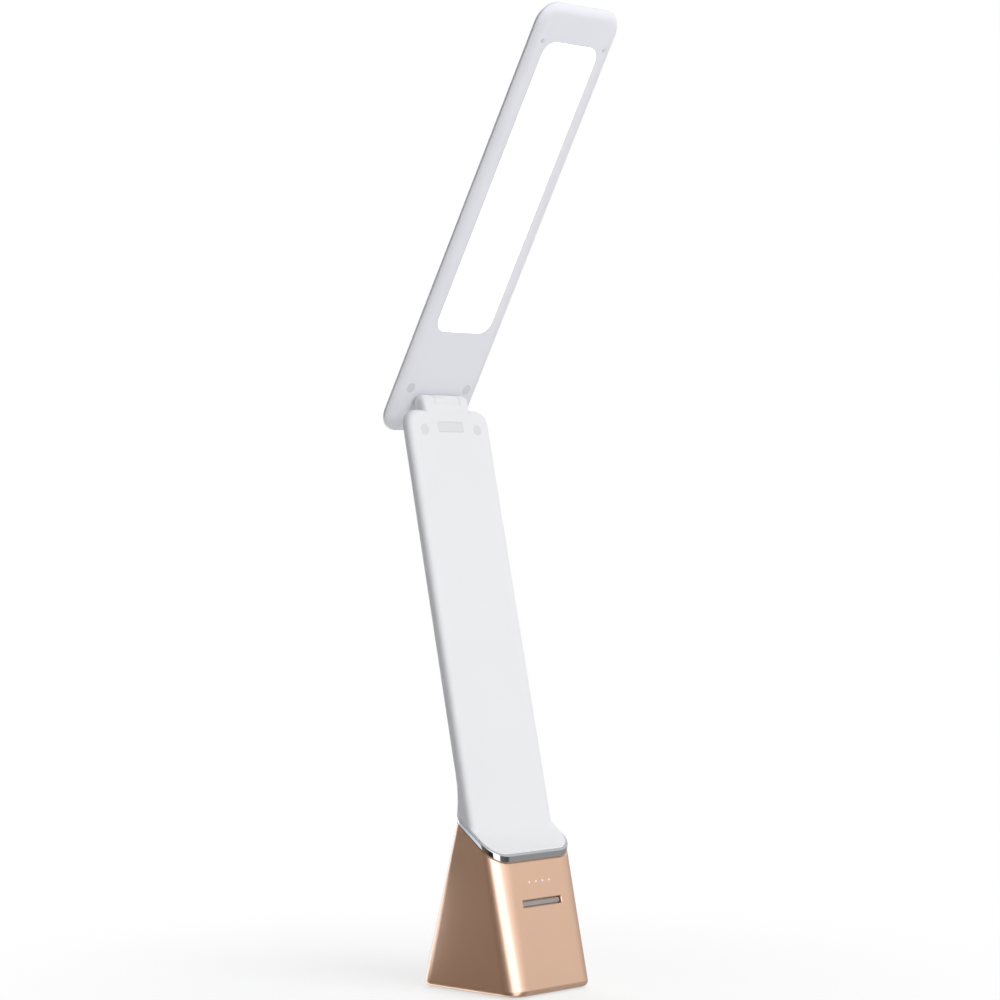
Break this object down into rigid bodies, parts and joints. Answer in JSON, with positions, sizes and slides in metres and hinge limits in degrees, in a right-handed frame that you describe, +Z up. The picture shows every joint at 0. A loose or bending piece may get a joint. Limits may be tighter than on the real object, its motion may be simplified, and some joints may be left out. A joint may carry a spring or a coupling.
{
  "type": "rechargeable folding led lamp",
  "caption": "Cordless desk lamp: weighted slanted base with bar button and charging inlet, leaning flat arm and a flat lit head that folds down over the arm on a friction hinge.",
  "frame": {"origin": "on the table, under the middle of the base", "axes": "+Z up, -Y towards the front with the button, +X to the right as seen from the front"},
  "size_m": [0.058, 0.1111, 0.4661],
  "materials": {
    "copper_housing": "metallic rose-copper paint, satin",
    "dark_plastic": "fine matte",
    "rubber": "matte",
    "steel": "plain",
    "cell_can": "sleeved can",
    "lead_sheath": "smooth sheath",
    "board": "green resist",
    "led": "clear over phosphor",
    "light_pipe": "clear",
    "button_metal": "silver-grey metallised, satin",
    "chrome": "mirror bright",
    "white_shell": "smooth satin white",
    "white_hinge": "smooth satin white",
    "grey_plug": "matte grey",
    "patch": "matte pale grey",
    "diffuser": "opal",
    "light_guide": "clear acrylic sheet",
    "reflector": "white film",
    "friction_washer": "plain white"
  },
  "bodies": {
    "base": {"base_shell": "copper_housing", "base_plate": "dark_plastic", "rubber_sole": "rubber", "base_plate_screws": "steel", "ballast_plate": "steel", "battery_cell": "cell_can", "battery_leads": "lead_sheath", "control_board": "board", "board_screws": "steel", "indicator_leds": "led", "indicator_light_pipes": "light_pipe", "tact_switch": "dark_plastic", "charging_board": "board", "charging_socket": "steel", "trim_ring": "chrome", "arm_front_shell": "white_shell", "arm_back_cover": "white_shell", "arm_foot_screws": "steel", "arm_hinge_yoke": "white_hinge", "hinge_pin": "steel", "friction_washers": "friction_washer", "arm_hinge_screws": "steel", "arm_screw_plugs": "grey_plug", "hinge_access_cover": "patch", "arm_lead": "lead_sheath"},
    "button": {"power_button": "button_metal", "switch_plunger": "dark_plastic"},
    "head": {"head_front_frame": "white_shell", "head_back_cover": "white_shell", "diffuser_panel": "diffuser", "light_guide": "light_guide", "reflector_sheet": "reflector", "led_board": "board", "led_chips": "led", "head_hinge_knuckle": "white_hinge", "head_hinge_screws": "steel", "head_screw_plugs": "grey_plug", "tip_bumpers": "grey_plug", "head_lead": "lead_sheath"}
  },
  "joints": [
    {"name": "head_fold", "type": "hinge", "parent": "base", "child": "head", "pos_m": [0, 0.04356, 0.28114], "axis": [1, 0, 0], "range_deg": [-41.35, 138.65]},
    {"name": "power_button_press", "type": "slide", "parent": "base", "child": "button", "axis": [0, 0.9767, -0.2147], "range_m": [0, 0.0006], "stiffness_N_per_m": 800}
  ]
}
